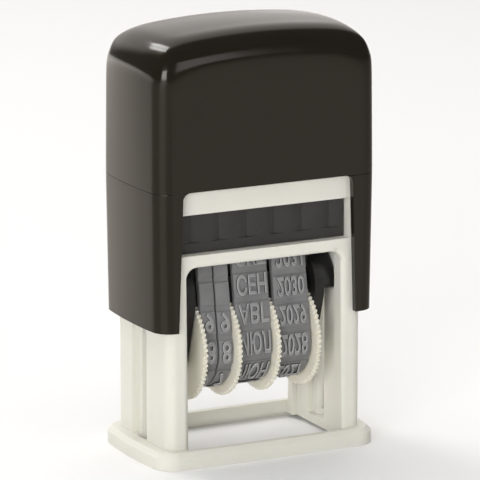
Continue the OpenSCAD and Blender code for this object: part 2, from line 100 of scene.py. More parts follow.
# Frame's windows: plane of the faces, half width, lower and upper limit of the edges, radius
FRAME_DEEP, FRAME_WINDOW, FRAME_LOW, FRAME_HIGH = 11.4, 16.6, 3.2, 38.72
FRAME_ROLL = 0.9

# Cassette: height of the plain strip and of the ledge on it, number and depth of the valleys, felt's pocket
STRIP_H, LEDGE_H = 1.9, 0.06
VALLEYS, VALLEY_DEEP = 6, 0.42
POCKET_HALF, POCKET_DEEP, POCKET_TOP = 14.28, 7.2, 44.43

# Loop of a date band: drum, rear edge and front edge of the print bar, as (y, z, radius)
LOOP = [(0.2, 20.6125, 7.05), (2.7, 37.675, 1.85), (-2.3, 37.675, 1.85)]
BAND_T, TILE_H, FIGURE_H = 0.9, 0.25, 0.5
CREST = BAND_T + TILE_H + FIGURE_H
TILE_COUNT, TILE_GROOVE, TILE_SHIFT = 12, 1.2, 0.955
TILE_ROUND = 0.12
# Raised figures: height on the tile, half thickness, chamfer, size of the type and height of its capitals
FIGURE_TALL, FIGURE_HALF, FIGURE_CHAMFER = 3.65, 0.26, 0.11
TYPE_SIZE, CAPITAL_H = 5, 3.6

# Return spring: ends, radius of the coil, radius of the wire, turns
SPRING_LOW, SPRING_HIGH = 51.6, 80.85
COIL_R, WIRE_R, TURNS = 5, 0.5, 7

# Felt: rounding of its edges, swelling of its underside, margin that doesn't swell
FELT_ROUND, FELT_SWELL, FELT_MARGIN = 0.35, 0.03, 0.8


# Shader nodes

def add(tree, kind, inputs=None, **settings):
    """Add a shader node; each input is given a value or the socket that feeds it."""
    made = tree.nodes.new(kind)
    for key, value in settings.items():
        setattr(made, key, value)
    for key, value in (inputs or {}).items():
        if isinstance(value, bpy.types.NodeSocket):
            tree.links.new(value, made.inputs[key])
        else:
            made.inputs[key].default_value = value
    return made


def math_of(tree, operation, a, b):
    return add(tree, "ShaderNodeMath", {0: a, 1: b}, operation=operation).outputs[0]


def times(tree, a, b):
    return math_of(tree, "MULTIPLY", a, b)


def plus(tree, a, b):
    return math_of(tree, "ADD", a, b)


def facing(tree, vector, direction):
    """How far a vector points in a direction."""
    made = add(tree, "ShaderNodeVectorMath", {0: vector, 1: direction}, operation="DOT_PRODUCT")
    return made.outputs["Value"]


def blend(tree, share, a, b):
    made = add(tree, "ShaderNodeMix", {"Factor": share, 6: a, 7: b}, data_type="RGBA")
    return made.outputs[2]


def spread(tree, value, low, high, least, most, easing="LINEAR"):
    """Map value from low..high to least..most; any of them may be a socket."""
    inputs = {"Value": value, "From Min": low, "From Max": high, "To Min": least, "To Max": most}
    return add(tree, "ShaderNodeMapRange", inputs, interpolation_type=easing).outputs["Result"]


def eased(tree, value, low, high, least=0.0, most=1.0):
    return spread(tree, value, low, high, least, most, "SMOOTHSTEP")


# Camera and studio

# Directions in the studio: up to the white backdrop, and level away from the camera
BACKDROP_WAY, AWAY = (0.2, 0.78, 0.59), (0.449, 0.8935, 0)
ROOM_TONE, BACKDROP_TONE = (0.13, 0.126, 0.118, 1), (1, 0.95, 0.91, 1)
FLOOR_TONE, FAR_FLOOR_GLOW = (0.95, 0.95, 0.95, 1), (0.9, 0.86, 0.82, 1)
BLACK, WHITE = (0, 0, 0, 1), (1, 1, 1, 1)

# Painted reflections: brightness of the floor round the object as only glossy surfaces see it, by the angle
# from
# the front towards the left, in degrees: white behind, cards and dark gaps elsewhere
FLOOR_CARDS = [(-180, 0.97), (-125, 0.5), (-100, 0.3), (-60, 0.42), (-35, 0.6), (-12, 0.57),
               (8, 0.4), (30, 0.4), (46, 0.7), (64, 0.75), (82, 0.42),
               (114, 0.42), (138, 0.78), (156, 0.95), (180, 1.0)]
# Share of green and blue in a card's tone
CARD_GREEN, CARD_BLUE = 0.93, 0.86


def look_from(azimuth, elevation, distance, target):
    """Place the camera by its angles in degrees and its distance from the point that it looks at."""
    a, e = math.radians(azimuth), math.radians(elevation)
    back = Vector((math.sin(a) * math.cos(e), -math.cos(a) * math.cos(e), math.sin(e)))
    data = bpy.data.cameras.new("camera")
    data.sensor_width = 36
    data.lens = 325.1
    data.clip_start = 0.01
    data.clip_end = 20
    camera = bpy.data.objects.new("camera", data)
    bpy.context.scene.collection.objects.link(camera)
    camera.location = target + back * distance
    camera.rotation_euler = (-back).to_track_quat("-Z", "Y").to_euler()
    bpy.context.scene.camera = camera


def softbox(name, place, aim, size, watts, mirrored=False):
    """Add a soft lamp; only a mirrored one shows in glossy surfaces."""
    data = bpy.data.lights.new(name, "AREA")
    data.shape = "RECTANGLE"
    data.size, data.size_y = size
    data.energy = watts
    lamp = bpy.data.objects.new(name, data)
    bpy.context.scene.collection.objects.link(lamp)
    lamp.location = place
    lamp.rotation_euler = (Vector(aim) - Vector(place)).to_track_quat("-Z", "Y").to_euler()
    lamp.visible_glossy = mirrored


def pale_world():
    """White to the camera; for light and reflections a white backdrop behind the object in a dim room."""
    world = bpy.data.worlds.new("studio")
    bpy.context.scene.world = world
    world.use_nodes = True
    tree = world.node_tree
    tree.nodes.clear()
    ray = add(tree, "ShaderNodeTexCoord").outputs["Generated"]
    height = add(tree, "ShaderNodeSeparateXYZ", {0: ray}).outputs["Z"]
    backdrop = eased(tree, facing(tree, ray, BACKDROP_WAY), 0.74, 0.88)
    horizon = times(tree, eased(tree, height, 0.05, 0.35, 1.0, 0.0),
                    eased(tree, facing(tree, ray, AWAY), 0.8, 0.95))
    tone = blend(tree, math_of(tree, "MAXIMUM", backdrop, horizon), ROOM_TONE, BACKDROP_TONE)
    lit = add(tree, "ShaderNodeBackground", {"Color": tone}).outputs[0]
    shown = add(tree, "ShaderNodeBackground", {"Color": WHITE}).outputs[0]
    seen = add(tree, "ShaderNodeLightPath").outputs["Is Camera Ray"]
    mix = add(tree, "ShaderNodeMixShader", {0: seen, 1: lit, 2: shown})
    add(tree, "ShaderNodeOutputWorld", {"Surface": mix.outputs[0]})


def floor_cards(tree, axes):
    """Painted reflection tones of the cards on the floor, by the angle round the object."""
    angle = math_of(tree, "ARCTAN2", times(tree, axes["X"], -1.0), times(tree, axes["Y"], -1.0))
    cards = add(tree, "ShaderNodeValToRGB", {"Fac": spread(tree, angle, -math.pi, math.pi, 0.0, 1.0)})
    cards.color_ramp.interpolation = "EASE"
    stops = cards.color_ramp.elements
    while len(stops) < len(FLOOR_CARDS):
        stops.new(0.5)
    for stop, (degrees, tone) in zip(stops, FLOOR_CARDS):
        stop.position = degrees / 360 + 0.5
        stop.color = (tone, tone * CARD_GREEN, tone * CARD_BLUE, 1)
    return cards.outputs["Color"]


def pale_floor():
    """White floor; glossy surfaces alone see painted reflections on it: cards, and a glow on the floor far
    behind the object.
    """
    mat = bpy.data.materials.new("pale_floor")
    mat.use_nodes = True
    tree = mat.node_tree
    shader = tree.nodes["Principled BSDF"]
    place = add(tree, "ShaderNodeTexCoord").outputs["Object"]
    axes = add(tree, "ShaderNodeSeparateXYZ", {0: place}).outputs
    mirrored = add(tree, "ShaderNodeLightPath").outputs["Is Glossy Ray"]
    tone = blend(tree, mirrored, FLOOR_TONE, floor_cards(tree, axes))
    # Painted glow: far behind the object the floor emits light that only glossy rays see
    far = times(tree, mirrored, eased(tree, axes["Y"], 0.3, 0.8))
    tree.links.new(tone, shader.inputs["Base Color"])
    tree.links.new(blend(tree, far, BLACK, FAR_FLOOR_GLOW), shader.inputs["Emission Color"])
    shader.inputs["Emission Strength"].default_value = 1.0
    shader.inputs["Roughness"].default_value = 0.9
    shader.inputs["Specular IOR Level"].default_value = 0.1
    return mat


def studio():
    bpy.context.scene.view_settings.view_transform = "Standard"
    pale_world()
    bpy.ops.object.select_all(action="DESELECT")
    bpy.ops.mesh.primitive_plane_add(size=6)
    floor = bpy.context.object
    floor.name = "floor"
    floor.data.materials.append(pale_floor())
    softbox("overhead", place=(0, 0.02, 1.1), aim=(0, 0.02, 0), size=(1.4, 1.4), watts=8.7)
    softbox("camera_fill", place=(-0.8, -0.85, 0.3), aim=(0, 0, 0.04), size=(0.8, 0.5), watts=7.5,
            mirrored=True)
    for pane in (-0.065, 0.065):
        softbox("crown_window", place=(-0.18 + pane, 0.62, 0.82), aim=(pane, 0, 0.08), size=(0.11, 0.5),
                watts=1.1, mirrored=True)
    softbox("edge_card", place=(0.27, -0.87, 0.36), aim=(0, 0, 0.08), size=(0.26, 0.42), watts=0.48,
            mirrored=True)
    softbox("rear_fill", place=(-0.75, 0.7, 0.22), aim=(0, 0, 0.02), size=(0.8, 0.4), watts=1.0)


look_from(azimuth=-26.68, elevation=13.49, distance=0.8371, target=Vector((0.0002, 0, 0.04026)))
studio()


# Modelling by hand

def only(obj):
    bpy.ops.object.select_all(action="DESELECT")
    obj.select_set(True)
    bpy.context.view_layer.objects.active = obj


def choose(obj, kind, test):
    """Open obj in edit mode and select the vertices, edges or faces that pass the test."""
    only(obj)
    bpy.ops.object.mode_set(mode="EDIT")
    bpy.ops.mesh.select_mode(type=kind)
    bpy.ops.mesh.select_all(action="DESELECT")
    mesh = bmesh.from_edit_mesh(obj.data)
    mesh.normal_update()
    for part in {"VERT": mesh.verts, "EDGE": mesh.edges, "FACE": mesh.faces}[kind]:
        part.select_set(test(part))
    mesh.select_flush_mode()
    bmesh.update_edit_mesh(obj.data)


def choose_all(obj):
    choose(obj, "FACE", lambda f: True)


def done():
    bpy.ops.object.mode_set(mode="OBJECT")


def settle(obj):
    only(obj)
    bpy.ops.object.transform_apply(location=True, rotation=True, scale=True)


def block(name, low, high):
    """Add a cube and size it to the box from low to high."""
    bpy.ops.object.select_all(action="DESELECT")
    bpy.ops.mesh.primitive_cube_add(size=1)
    obj = bpy.context.object
    obj.name = obj.data.name = name
    obj.location = [(a + b) / 2 for a, b in zip(low, high)]
    obj.scale = [b - a for a, b in zip(low, high)]
    settle(obj)
    return obj


def finish_with(obj, kind, **settings):
    """Add a modifier and apply it."""
    only(obj)
    modifier = obj.modifiers.new(kind, kind)
    for key, value in settings.items():
        setattr(modifier, key, value)
    bpy.ops.object.modifier_apply(modifier=modifier.name)


def round_edges(obj, width, segments, sharper_than, **settings):
    """Round the edges that are sharper than an angle in degrees."""
    finish_with(obj, "BEVEL", width=width, segments=segments, limit_method="ANGLE",
                angle_limit=math.radians(sharper_than), **settings)


def cut_out(obj, cutter):
    finish_with(obj, "BOOLEAN", object=cutter, operation="DIFFERENCE", solver="EXACT")
    bpy.data.objects.remove(cutter)


def slices(obj, axis, places):
    normal = [1.0 if i == axis else 0.0 for i in range(3)]
    for place in places:
        choose_all(obj)
        bpy.ops.mesh.bisect(plane_co=[place * n for n in normal], plane_no=normal)
        done()


def push(obj, test, by):
    choose(obj, "VERT", lambda v: test(v.co))
    bpy.ops.transform.translate(value=by)
    done()


def stretch(obj, test, by, centre):
    choose(obj, "VERT", lambda v: test(v.co))
    bpy.ops.transform.resize(value=by, center_override=centre)
    done()


def raise_faces(by):
    """Extrude the selected faces and move them."""
    bpy.ops.mesh.extrude_region_move(TRANSFORM_OT_translate={"value": by})


def smooth(obj, angle=40):
    only(obj)
    bpy.ops.object.shade_smooth_by_angle(angle=math.radians(angle))


def to_metres(obj):
    obj.scale = (MM, MM, MM)
    settle(obj)


def joined(name, *parts):
    only(parts[0])
    for part in parts[1:]:
        part.select_set(True)
    bpy.ops.object.join()
    parts[0].name = parts[0].data.name = name
    return parts[0]


def place_on(obj, body, finish, node):
    """Give a finished piece its material and its body, and hide the CAD node it stands for."""
    obj.data.materials.clear()
    obj.data.materials.append(finish)
    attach(obj, body)
    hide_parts(node)


def softened(node, name, width, segments=3, first=None):
    """A merged copy of a CAD node with its sharp edges rounded, after what is to be done to it first."""
    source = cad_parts[node]
    obj = source.copy()
    obj.data = source.data.copy()
    bpy.context.scene.collection.objects.link(obj)
    obj.parent = None
    obj.name = obj.data.name = name
    for key in list(obj.keys()):
        del obj[key]
    obj.scale = (1 / MM, 1 / MM, 1 / MM)
    settle(obj)
    choose_all(obj)
    bpy.ops.mesh.remove_doubles(threshold=0.002)
    bpy.ops.mesh.dissolve_limited(angle_limit=math.radians(0.6))
    done()
    if first:
        first(obj)
    round_edges(obj, width, segments, sharper_than=38, use_clamp_overlap=True, miter_outer="MITER_ARC")
    smooth(obj)
    finish_with(obj, "WEIGHTED_NORMAL", keep_sharp=True)
    to_metres(obj)
    return obj


# Finishes

def group_of(name, inputs):
    """A surface's node group: inputs by name with their default, outputs Colour, Roughness and Height."""
    tree = bpy.data.node_groups.new(name, "ShaderNodeTree")
    for label, value in inputs.items():
        kind = "NodeSocketColor" if isinstance(value, tuple) else "NodeSocketFloat"
        tree.interface.new_socket(label, in_out="INPUT", socket_type=kind).default_value = value
    tree.interface.new_socket("Colour", in_out="OUTPUT", socket_type="NodeSocketColor")
    tree.interface.new_socket("Roughness", in_out="OUTPUT", socket_type="NodeSocketFloat")
    tree.interface.new_socket("Height", in_out="OUTPUT", socket_type="NodeSocketFloat")
    given = tree.nodes.new("NodeGroupInput").outputs
    place = tree.nodes.new("ShaderNodeTexCoord").outputs["Object"]
    return tree, given, place


def noise(tree, place, scale, detail=2.0, twist=0.0):
    inputs = {"Vector": place, "Scale": scale, "Detail": detail, "Distortion": twist}
    return add(tree, "ShaderNodeTexNoise", inputs).outputs["Fac"]


def varied(tree, value, least, most):
    """Spread the usual range of a noise over least..most."""
    return spread(tree, value, 0.3, 0.7, least, most)


def scaled_colour(tree, colour, factor):
    made = add(tree, "ShaderNodeVectorMath", {0: colour, "Scale": factor}, operation="SCALE")
    return made.outputs[0]


def give(tree, colour, rough, height):
    add(tree, "NodeGroupOutput", {"Colour": colour, "Roughness": rough, "Height": height})


def moulded_group():
    """Injection-moulded plastic: faint flow clouds, patches of shine, fine grain, a little dust."""
    inputs = {"Colour": (0.8, 0.8, 0.8, 1), "Clouds": 0.03, "Roughness": 0.4, "Patches": 0.08,
              "Grain": 5000.0, "Dust": 0.02}
    tree, given, place = group_of("moulded_plastic", inputs)
    flow = noise(tree, place, scale=75.0, detail=3.0, twist=0.8)
    clouds = varied(tree, flow, math_of(tree, "SUBTRACT", 1.0, given["Clouds"]), 1.0)
    toned = scaled_colour(tree, given["Colour"], clouds)
    dust_tone = (0.62, 0.61, 0.58, 1)
    specks = spread(tree, noise(tree, place, scale=1500.0, detail=3.0), 0.62, 0.74, 0.0, given["Dust"])
    shine = noise(tree, place, scale=190.0, detail=4.0, twist=0.5)
    patches = varied(tree, shine, 0.0, given["Patches"])
    rough = plus(tree, given["Roughness"], plus(tree, patches, specks))
    give(tree, blend(tree, specks, toned, dust_tone), rough, noise(tree, place, given["Grain"]))
    return tree


def rubber_group():
    """Moulded rubber by lift: painted shade in grooves and on figure sides, painted rim highlights, fine
    pores.
    """
    inputs = {"Colour": (0.15, 0.15, 0.16, 1), "Figures": (0.4, 0.4, 0.4, 1), "Roughness": 0.6}
    tree, given, place = group_of("date_rubber", inputs)
    lift = add(tree, "ShaderNodeAttribute", attribute_name="lift").outputs["Fac"]
    wear = noise(tree, place, scale=900.0, detail=3.0)
    tile_top = CREST - FIGURE_H
    # Painted highlight on the figure rims just under their tops, broken up by wear noise
    rim = times(tree, spread(tree, lift, CREST - 0.2, CREST - 0.08, 0.0, 1.0),
                spread(tree, lift, CREST - 0.04, CREST, 1.0, 0.25))
    rim_highlight_and_rubbing = times(tree, rim, varied(tree, wear, 0.6, 1.0))
    # Painted shade on the figure sides, darkening them down to a fifth of the tone
    side = times(tree, spread(tree, lift, tile_top + 0.01, tile_top + 0.06, 0.0, 1.0),
                 spread(tree, lift, CREST - 0.24, CREST - 0.17, 1.0, 0.0))
    # Painted shade in the grooves between the tiles
    painted_groove_shade = spread(tree, lift, BAND_T, BAND_T + TILE_H, 0.92, 1.0)
    patch_tone = varied(tree, noise(tree, place, scale=260.0, detail=4.0), 0.86, 1.1)
    # The tone carries the painted shade of grooves and figure sides, and random patches
    tone = times(tree, times(tree, painted_groove_shade, patch_tone), spread(tree, side, 0.0, 1.0, 1.0, 0.2))
    colour = blend(tree, rim_highlight_and_rubbing, scaled_colour(tree, given["Colour"], tone), given["Figures"])
    rough = plus(tree, given["Roughness"], varied(tree, wear, -0.06, 0.1))
    give(tree, colour, rough, noise(tree, place, scale=4200.0, detail=3.0))
    return tree


def steel_group():
    """Drawn steel: fine lines and dull patches."""
    tree, given, place = group_of("drawn_steel", {"Colour": (0.55, 0.55, 0.56, 1), "Roughness": 0.28})
    drawn = add(tree, "ShaderNodeMapping", {"Vector": place, "Scale": (0.06, 1.0, 1.0)}).outputs[0]
    lines = noise(tree, drawn, scale=6000.0, detail=3.0)
    dull = noise(tree, place, scale=220.0, detail=4.0)
    colour = scaled_colour(tree, given["Colour"], varied(tree, dull, 0.8, 1.05))
    rim_highlight_and_rubbing = plus(tree, varied(tree, lines, 0.0, 0.1), varied(tree, dull, 0.0, 0.08))
    give(tree, colour, plus(tree, given["Roughness"], rim_highlight_and_rubbing), lines)
    return tree


def felt_group():
    """Ink-soaked felt: tangled fibres, wetter and drier places."""
    inputs = {"Colour": (0.012, 0.012, 0.016, 1), "Dry": (0.045, 0.045, 0.055, 1), "Roughness": 0.85}
    tree, given, place = group_of("inked_felt", inputs)
    fibres = noise(tree, place, scale=3200.0, detail=5.0, twist=2.5)
    wet = noise(tree, place, scale=140.0, detail=3.0)
    dry = times(tree, spread(tree, fibres, 0.4, 0.65, 0.0, 1.0), spread(tree, wet, 0.35, 0.65, 0.3, 1.0))
    rough = math_of(tree, "SUBTRACT", given["Roughness"], spread(tree, wet, 0.35, 0.65, 0.3, 0.0))
    give(tree, blend(tree, dry, given["Colour"], given["Dry"]), rough, fibres)
    return tree


def finish_of(name, group, values, bump, **settings):
    """A material: a surface group on a plain shader, its height as a bump of a given strength and depth."""
    mat = bpy.data.materials.new(name)
    mat.use_nodes = True
    tree = mat.node_tree
    shader = tree.nodes["Principled BSDF"]
    surface = add(tree, "ShaderNodeGroup", node_tree=group)
    for key, value in values.items():
        surface.inputs[key].default_value = value
    strength, depth = bump
    relief = add(tree, "ShaderNodeBump", {"Strength": strength, "Distance": depth,
                                          "Height": surface.outputs["Height"]})
    tree.links.new(surface.outputs["Colour"], shader.inputs["Base Color"])
    tree.links.new(surface.outputs["Roughness"], shader.inputs["Roughness"])
    tree.links.new(relief.outputs["Normal"], shader.inputs["Normal"])
    for key, value in settings.items():
        shader.inputs[key.replace("_", " ")].default_value = value
    return mat


moulded = moulded_group()


def plastic(name, colour, clouds, rough, patches, grain, dust, bump, **settings):
    values = {"Colour": (*colour, 1), "Clouds": clouds, "Roughness": rough, "Patches": patches,
              "Grain": grain, "Dust": dust}
    return finish_of(name, moulded, values, bump, **settings)


translucent = {"Subsurface_Weight": 0.25, "Subsurface_Radius": (1.0, 0.9, 0.65), "Subsurface_Scale": 0.0012}
gloss_black = plastic("gloss_black_plastic", (0.0105, 0.0082, 0.0052), clouds=0.12, rough=0.1, patches=0.06,
                      grain=2200.0, dust=0.004, bump=(0.03, 0.00003), Specular_Tint=(1, 0.97, 0.91, 1))
white_plastic = plastic("white_plastic", (0.80, 0.79, 0.715), clouds=0.035, rough=0.36, patches=0.1,
                        grain=5200.0, dust=0.03, bump=(0.1, 0.00005), **translucent)
dark_plastic = plastic("dark_cassette_plastic", (0.040, 0.038, 0.036), clouds=0.2, rough=0.45, patches=0.12,
                       grain=6500.0, dust=0.03, bump=(0.16, 0.00006))
black_plastic = plastic("black_carriage_plastic", (0.010, 0.0098, 0.0095), clouds=0.2, rough=0.28,
                        patches=0.12, grain=5000.0, dust=0.02, bump=(0.12, 0.00005))
cream_plastic = plastic("cream_wheel_plastic", (0.87, 0.835, 0.72), clouds=0.05, rough=0.36, patches=0.1,
                        grain=5500.0, dust=0.02, bump=(0.1, 0.00004), **translucent)
# The lighter tone is that of the painted highlight on the figure rims
rubber_tones = {"Colour": (0.225, 0.225, 0.228, 1), "Figures": (0.58, 0.58, 0.585, 1), "Roughness": 0.5}
grey_rubber = finish_of("grey_rubber", rubber_group(), rubber_tones, bump=(0.18, 0.00006))
steel = finish_of("steel", steel_group(), {"Roughness": 0.26}, bump=(0.1, 0.00003), Metallic=1.0)
felt = finish_of("inked_felt", felt_group(), {}, bump=(0.8, 0.0002), Sheen_Weight=0.15)

NODE_FINISHES = [
    (gloss_black, ["cap_shell"]),
    (white_plastic, ["lower_frame"]),
    (dark_plastic, ["pad_cassette"]),
    (black_plastic, ["left_cheek", "right_cheek", "print_bar"]),
    (cream_plastic, [f"{name}_wheel" for name in PAIRS]),
    (grey_rubber, [f"{name}_band" for name in PAIRS]),
    (steel, ["left_pivot_pin", "right_pivot_pin", "left_turning_peg", "right_turning_peg"]),
    (steel, ["wheel_axle", "axle_clips", "spring_seat", "return_spring"]),
    (felt, ["ink_pad"]),
]
for finish, nodes in NODE_FINISHES:
    for node in nodes:
        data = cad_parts[node].data
        data.materials.clear()
        data.materials.append(finish)


# Cap

def bow_ends(obj, y):
    """Push both ends out at a row of vertices, and farther at the crown."""
    share = 1 - (y / CAP_DEEP) ** 2
    for side in (-1, 1):
        def at_end(p):
            return abs(p.y - y) < NEAR and p.x * side > CORNER_HALF - NEAR

        push(obj, at_end, (side * END_BOW * share, 0, 0))
        push(obj, lambda p: at_end(p) and p.z > CROWN_LOW, (side * CROWN_BOW * share, 0, 0))


def cap_block():
    """A block with an arched crown, bowed ends and walls that draw in from the parting line."""
    obj = block("cap", (-CORNER_HALF, -CAP_DEEP, CAP_LOW), (CORNER_HALF, CAP_DEEP, CAP_TOP))
    columns, rows = range(-15, 16, 5), range(-6, 7, 3)
    slices(obj, 2, [CAP_PART])
    slices(obj, 0, columns)
    slices(obj, 1, rows)
    for x in [-CORNER_HALF, *columns, CORNER_HALF]:
        push(obj, lambda p: abs(p.x - x) < NEAR and p.z > CROWN_LOW, (0, 0, -x * x / (2 * CROWN_ARCH)))
    for y in rows:
        bow_ends(obj, y)
    for y in [-CAP_DEEP, *rows, CAP_DEEP]:
        fall = CROWN_FALL * min(1, (y / FALL_REACH) ** 2)
        push(obj, lambda p: abs(p.y - y) < NEAR and p.z > CROWN_LOW, (0, 0, -fall))
    draft = (1 - DRAFT / CAP_HALF, 1 - DRAFT / 2 / CAP_DEEP, 1)
    stretch(obj, lambda p: p.z < CAP_LOW + NEAR, draft, (0, 0, CAP_LOW))
    stretch(obj, lambda p: p.z > CROWN_LOW, draft, (0, 0, CAP_TOP))
    slices(obj, 2, WALL_LOOPS)
    return obj


def roll_cap_edges(obj):
    """Round the crown's edges and the upright corners, each kind with its own radius."""
    weights = obj.data.attributes.new("bevel_weight_edge", "FLOAT", "EDGE")
    for edge in obj.data.edges:
        a, b = (obj.data.vertices[i].co for i in edge.vertices)
        crown = min(a.z, b.z) > CROWN_LOW
        end = min(abs(a.x), abs(b.x)) > CORNER_HALF - 1
        face = min(abs(a.y), abs(b.y)) > CAP_DEEP - 1
        if crown and end:
            weights.data[edge.index].value = 1.0
        elif crown and face:
            weights.data[edge.index].value = FACE_ROLL / END_ROLL
        elif end and face:
            weights.data[edge.index].value = CORNER_ROLL / END_ROLL
    finish_with(obj, "BEVEL", width=END_ROLL, segments=6, limit_method="WEIGHT", use_clamp_overlap=False)
    choose(obj, "VERT", lambda v: v.co.z > CORNER_Z and abs(v.co.x) > CORNER_X and abs(v.co.y) > CORNER_Y)
    bpy.ops.mesh.vertices_smooth(factor=0.5, repeat=2)
    done()


def cap_outside():
    """The cap's outer skin with its parting groove, open below."""
    obj = cap_block()
    roll_cap_edges(obj)
    choose(obj, "FACE", lambda f: f.normal.z < -SQUARE_ON and f.calc_center_median().z < CAP_LOW + 0.1)
    bpy.ops.mesh.delete(type="FACE")
    done()
    finish_with(obj, "SUBSURF", levels=2, render_levels=2)
    slices(obj, 2, [CAP_PART - GROOVE_HALF, CAP_PART, CAP_PART + GROOVE_HALF])
    choose(obj, "VERT", lambda v: abs(v.co.z - CAP_PART) < NEAR)
    bpy.ops.transform.shrink_fatten(value=-GROOVE_DEEP)
    done()
    return obj


def window_cutter():
    """A bar through front and rear that is wider at the rim and round in its upper corners."""
    beyond, below = 20, 3
    cutter = block("window_cutter", (-WINDOW_HALF, -beyond, CAP_LOW - below),
                   (WINDOW_HALF, beyond, CAP_PART))
    stretch(cutter, lambda p: p.z < CAP_LOW, (1 + WINDOW_FLARE / WINDOW_HALF, 1, 1), (0, 0, CAP_LOW))
    push(cutter, lambda p: p.x > 0, (-WINDOW_TRIM, 0, 0))
    choose(cutter, "EDGE", lambda e: all(v.co.z > CAP_PART - NEAR for v in e.verts)
           and abs(e.verts[0].co.x - e.verts[1].co.x) < NEAR)
    bpy.ops.mesh.bevel(offset=WINDOW_CORNER, segments=8, affect="EDGES")
    done()
    return cutter


def pin_boss(side):
    """A round boss with a blind bore for a pivot pin, at the left or right end."""
    long = BOSS_END - INNER_X
    bore = 0.9 * long
    bpy.ops.object.select_all(action="DESELECT")
    bpy.ops.mesh.primitive_cylinder_add(vertices=48, radius=BOSS_R, depth=long,
                                        location=(side * (INNER_X + BOSS_END) / 2, PIVOT_Y, PIVOT_Z),
                                        rotation=(0, math.pi / 2, 0))
    obj = bpy.context.object
    settle(obj)
    choose(obj, "FACE", lambda f: len(f.verts) > 4 and abs(f.calc_center_median().x - side * INNER_X) < NEAR)
    bpy.ops.mesh.inset(thickness=BOSS_R - PIN_BORE_R)
    raise_faces((side * bore, 0, 0))
    done()
    return obj


def spring_socket():
    """The ring under the crown that the spring's upper end stands in."""
    bpy.ops.object.select_all(action="DESELECT")
    bpy.ops.mesh.primitive_cylinder_add(vertices=64, radius=SOCKET_R, depth=SOCKET_LONG,
                                        location=(0, 0, SOCKET_MID))
    obj = bpy.context.object
    settle(obj)
    choose(obj, "FACE", lambda f: f.normal.z < -SQUARE_ON)
    bpy.ops.mesh.inset(thickness=SOCKET_WALL)
    raise_faces((0, 0, SOCKET_DEEP))
    done()
    return obj


def cap_inside():
    """Bosses round the pivot pins, guide ribs and the spring's socket."""
    parts = [spring_socket()]
    for side in (-1, 1):
        parts.append(pin_boss(side))
        x0, x1 = sorted((side * INNER_X, side * RIB_END))
        for y in (-RIB_Y, RIB_Y):
            parts.append(block("rib", (x0, y - RIB_HALF, RIB_LOW), (x1, y + RIB_HALF, RIB_HIGH)))
    obj = joined("cap_inside", *parts)
    round_edges(obj, width=0.2, segments=2, sharper_than=50)
    return obj


def make_cap():
    obj = cap_outside()
    finish_with(obj, "SOLIDIFY", thickness=CAP_WALL, offset=-1, use_even_offset=True)
    cut_out(obj, window_cutter())
    round_edges(obj, width=0.22, segments=3, sharper_than=55, use_clamp_overlap=True)
    obj = joined("cap", obj, cap_inside())
    smooth(obj, angle=35)
    finish_with(obj, "WEIGHTED_NORMAL", keep_sharp=True)
    to_metres(obj)
    place_on(obj, "cap", gloss_black, "cap_shell")


make_cap()


# Frame and ink cassette

def round_window_edges(obj):
    def on_window(v):
        in_face = abs(abs(v.co.y) - FRAME_DEEP) < NEAR
        return in_face and abs(v.co.x) < FRAME_WINDOW and FRAME_LOW < v.co.z < FRAME_HIGH

    choose(obj, "EDGE", lambda e: all(on_window(v) for v in e.verts))
    bpy.ops.mesh.bevel(offset=FRAME_ROLL, segments=5, affect="EDGES")
    done()


def make_frame():
    moulding = softened("lower_frame", "frame_moulding", width=0.35, first=round_window_edges)
    place_on(moulding, "frame", white_plastic, "lower_frame")


def make_cassette():
    """The ink cassette: a plain strip along its front and rear, bulges and valleys above, a pocket below."""
    half, deep, low = CASSETTE_HIGH[0], CASSETTE_HIGH[1], CASSETTE_LOW[2]
    strip_top = low + STRIP_H
    obj = block("ink_cassette", CASSETTE_LOW, CASSETTE_HIGH)
    pitch = 2 * half / VALLEYS
    shares = [k / 5 for k in range(-4, 6)]
    # The last column would lie in the end face
    columns = [(i - (VALLEYS - 1) / 2 + t / 2) * pitch for i in range(VALLEYS) for t in shares][:-1]
    slices(obj, 2, [strip_top, strip_top + LEDGE_H])
    slices(obj, 0, columns)
    for x in [-half, *columns, half]:
        away = abs((x / pitch + VALLEYS / 2) % 1 - 0.5) * 2
        depth = VALLEY_DEEP * (1 - away) ** 2
        stretch(obj, lambda p: abs(p.x - x) < NEAR and p.z > strip_top + LEDGE_H / 2,
                (1, 1 - depth / deep, 1), (0, 0, 0))
    pocket = block("pocket", (-POCKET_HALF, -POCKET_DEEP, low - 1), (POCKET_HALF, POCKET_DEEP, POCKET_TOP))
    cut_out(obj, pocket)
    round_edges(obj, width=0.15, segments=2, sharper_than=50, use_clamp_overlap=True)
    smooth(obj, angle=12)
    to_metres(obj)
    place_on(obj, "frame", dark_plastic, "pad_cassette")


make_frame()
make_cassette()


# Cheeks of the carriage and thumbwheels

for side in ("left", "right"):
    cheek = softened(f"{side}_cheek", f"{side}_carriage_cheek", width=0.25)
    place_on(cheek, "carriage", black_plastic, f"{side}_cheek")
for name in PAIRS:
    wheel = softened(f"{name}_wheel", f"{name}_thumbwheel", width=0.14, segments=2)
    place_on(wheel, f"{name}_setter", cream_plastic, f"{name}_wheel")


# Date bands: a flat strip of tiles with raised figures, then wrapped round the drum and the print bar

def run_after(i):
    """Angle and length of the straight run that leaves circle i of the loop."""
    (y0, z0, r0), (y1, z1, r1) = LOOP[i % 3], LOOP[(i + 1) % 3]
    apart = math.hypot(y1 - y0, z1 - z0)
    angle = math.atan2(z1 - z0, y1 - y0) - math.acos((r0 - r1) / apart)
    return angle, math.sqrt(apart ** 2 - (r0 - r1) ** 2)


